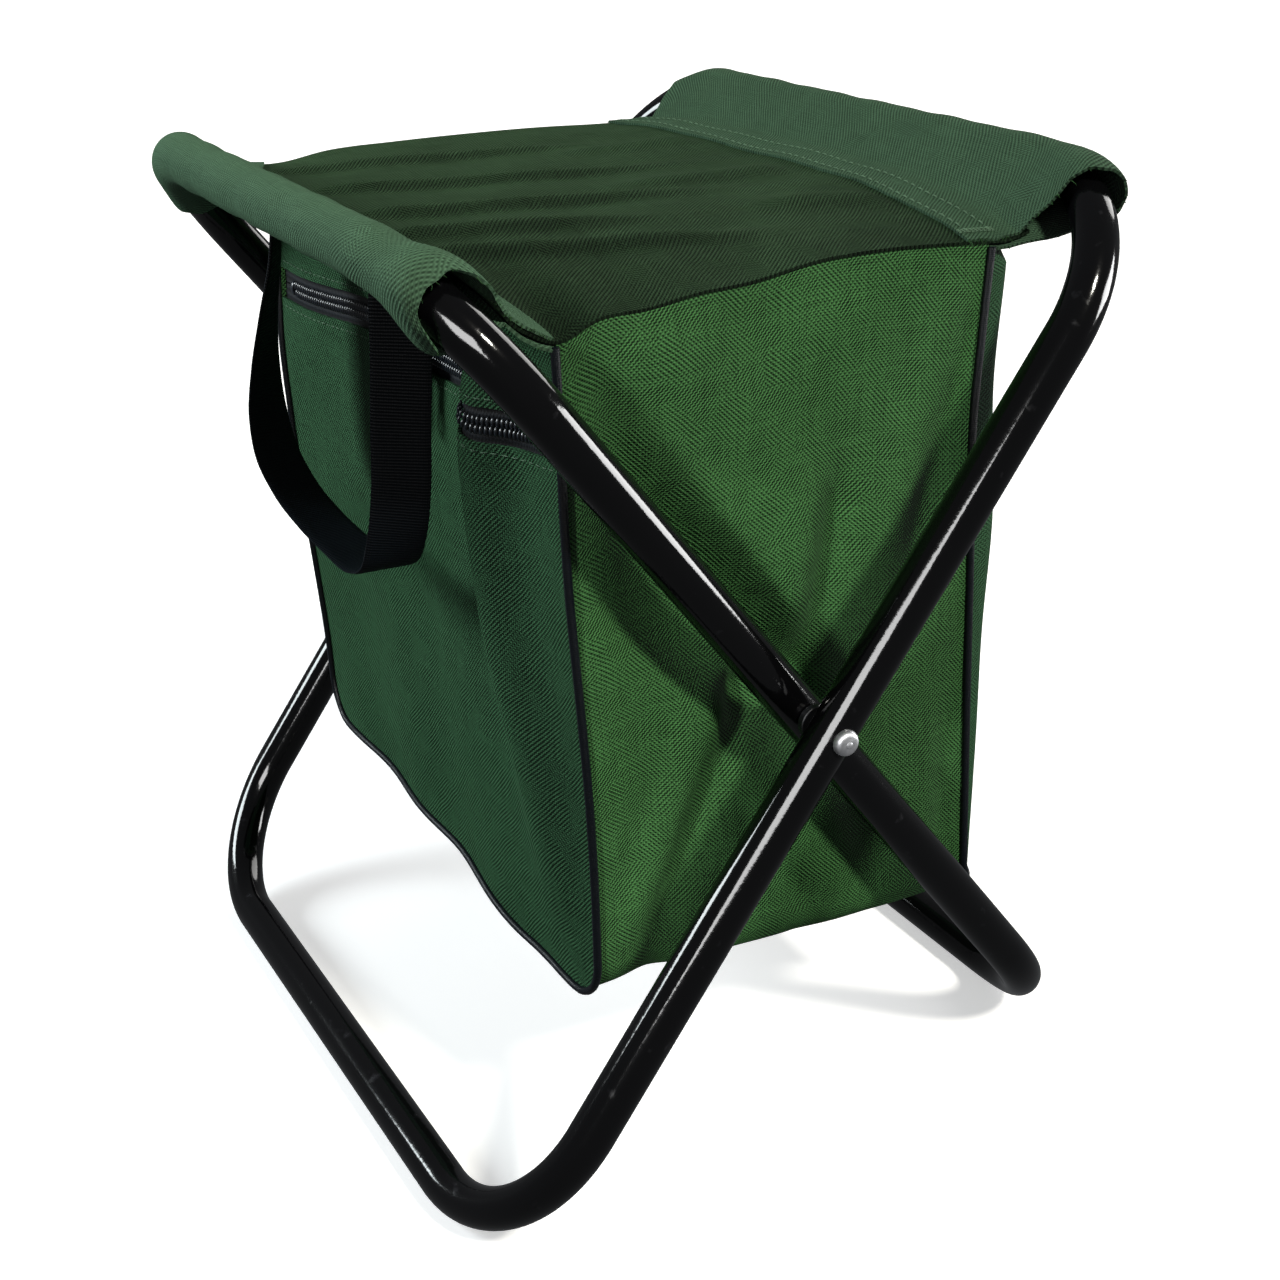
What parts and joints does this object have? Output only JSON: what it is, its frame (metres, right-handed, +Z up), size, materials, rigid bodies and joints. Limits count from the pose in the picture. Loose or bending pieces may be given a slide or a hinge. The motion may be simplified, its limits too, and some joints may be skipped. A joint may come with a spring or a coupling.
{
  "type": "folding cooler stool",
  "caption": "Folding camp stool of crossed black tube loops on riveted pivots, with a green canvas seat over an insulated zip bag and a webbing handle.",
  "frame": {"origin": "on the floor, under the middle of the open stool", "axes": "+Z up, +X along the rails and the rivet axis, -Y towards the zip and the handle"},
  "size_m": [0.3402, 0.27, 0.35],
  "materials": {
    "frame_coat": "gloss black powder coat on steel tube",
    "rivet_steel": "bright zinc-plated steel",
    "sleeve_cloth": "green coated oxford weave",
    "seat_cloth": "olive green coated oxford weave",
    "bag_cloth": "green coated oxford weave",
    "black_trim": "black woven tape and piping",
    "foam": "white closed-cell foam sheet",
    "liner_film": "silver-grey film",
    "zip_nylon": "black nylon coil",
    "zip_metal": "black enamel",
    "webbing": "black ribbed webbing"
  },
  "bodies": {
    "bag": {"seat_panel": "seat_cloth", "front_sleeve_lap": "sleeve_cloth", "back_sleeve_lap": "sleeve_cloth", "side_panel_right": "bag_cloth", "side_panel_left": "bag_cloth", "bottom_panel": "bag_cloth", "foam_right": "foam", "foam_left": "foam", "foam_bottom": "foam", "foam_seat": "foam", "liner_right": "liner_film", "liner_left": "liner_film", "liner_bottom": "liner_film", "liner_seat": "liner_film"},
    "outer_frame": {"outer_frame_tube": "frame_coat", "back_sleeve": "sleeve_cloth", "pivot_rivet_right": "rivet_steel", "pivot_rivet_left": "rivet_steel", "spacer_washer_right": "rivet_steel", "spacer_washer_left": "rivet_steel", "backing_washer_right": "rivet_steel", "backing_washer_left": "rivet_steel"},
    "inner_frame": {"inner_frame_tube": "frame_coat", "front_sleeve": "sleeve_cloth"},
    "front_end": {"front_panel": "bag_cloth", "front_flap": "bag_cloth", "front_piping": "black_trim", "foam_front": "foam", "liner_front": "liner_film", "zip_tape_upper": "black_trim", "zip_tape_lower": "black_trim", "zip_chain": "zip_nylon", "zip_stop_right": "zip_nylon", "zip_stop_left": "zip_nylon", "handle_end_right": "webbing", "handle_end_left": "webbing"},
    "back_end": {"back_panel": "bag_cloth", "back_piping": "black_trim", "foam_back": "foam", "liner_back": "liner_film"},
    "slider_right": {"zip_slider_right": "zip_metal"},
    "slider_left": {"zip_slider_left": "zip_metal"},
    "pull_right": {"zip_pull_right": "zip_metal"},
    "pull_left": {"zip_pull_left": "zip_metal"},
    "handle": {"handle": "webbing"}
  },
  "joints": [
    {"name": "frame_fold", "type": "hinge", "parent": "bag", "child": "outer_frame", "pos_m": [0, 0, 0.17767], "axis": [1, 0, 0], "range_deg": [0, 32.5]},
    {"name": "inner_fold", "type": "hinge", "parent": "bag", "child": "inner_frame", "pos_m": [0, 0, 0.17767], "axis": [1, 0, 0], "range_deg": [-32.5, 0]},
    {"name": "front_collapse", "type": "slide", "parent": "bag", "child": "front_end", "axis": [0, 1, 0], "range_m": [0, 0.0661]},
    {"name": "back_collapse", "type": "slide", "parent": "bag", "child": "back_end", "axis": [0, -1, 0], "range_m": [0, 0.0729]},
    {"name": "zip_slide_right", "type": "slide", "parent": "front_end", "child": "slider_right", "axis": [1, 0, 0], "range_m": [0, 0.0776]},
    {"name": "zip_slide_left", "type": "slide", "parent": "front_end", "child": "slider_left", "axis": [-1, 0, 0], "range_m": [0, 0.1136]},
    {"name": "pull_flip_right", "type": "hinge", "parent": "slider_right", "child": "pull_right", "pos_m": [0.02365, -0.08364, 0.28243], "axis": [1, 0, 0], "range_deg": [-150, 0]},
    {"name": "pull_flip_left", "type": "hinge", "parent": "slider_left", "child": "pull_left", "pos_m": [0.01235, -0.08364, 0.28243], "axis": [1, 0, 0], "range_deg": [-150, 0]},
    {"name": "handle_swing", "type": "hinge", "parent": "front_end", "child": "handle", "pos_m": [0, -0.10074, 0.31993], "axis": [1, 0, 0], "range_deg": [-65, 0]}
  ],
  "couplings": [
    {"joint": "inner_fold", "follows": "frame_fold", "ratio": -1},
    {"joint": "front_collapse", "follows": "frame_fold", "m_per_rad": 0.1165},
    {"joint": "back_collapse", "follows": "frame_fold", "m_per_rad": 0.1285}
  ]
}
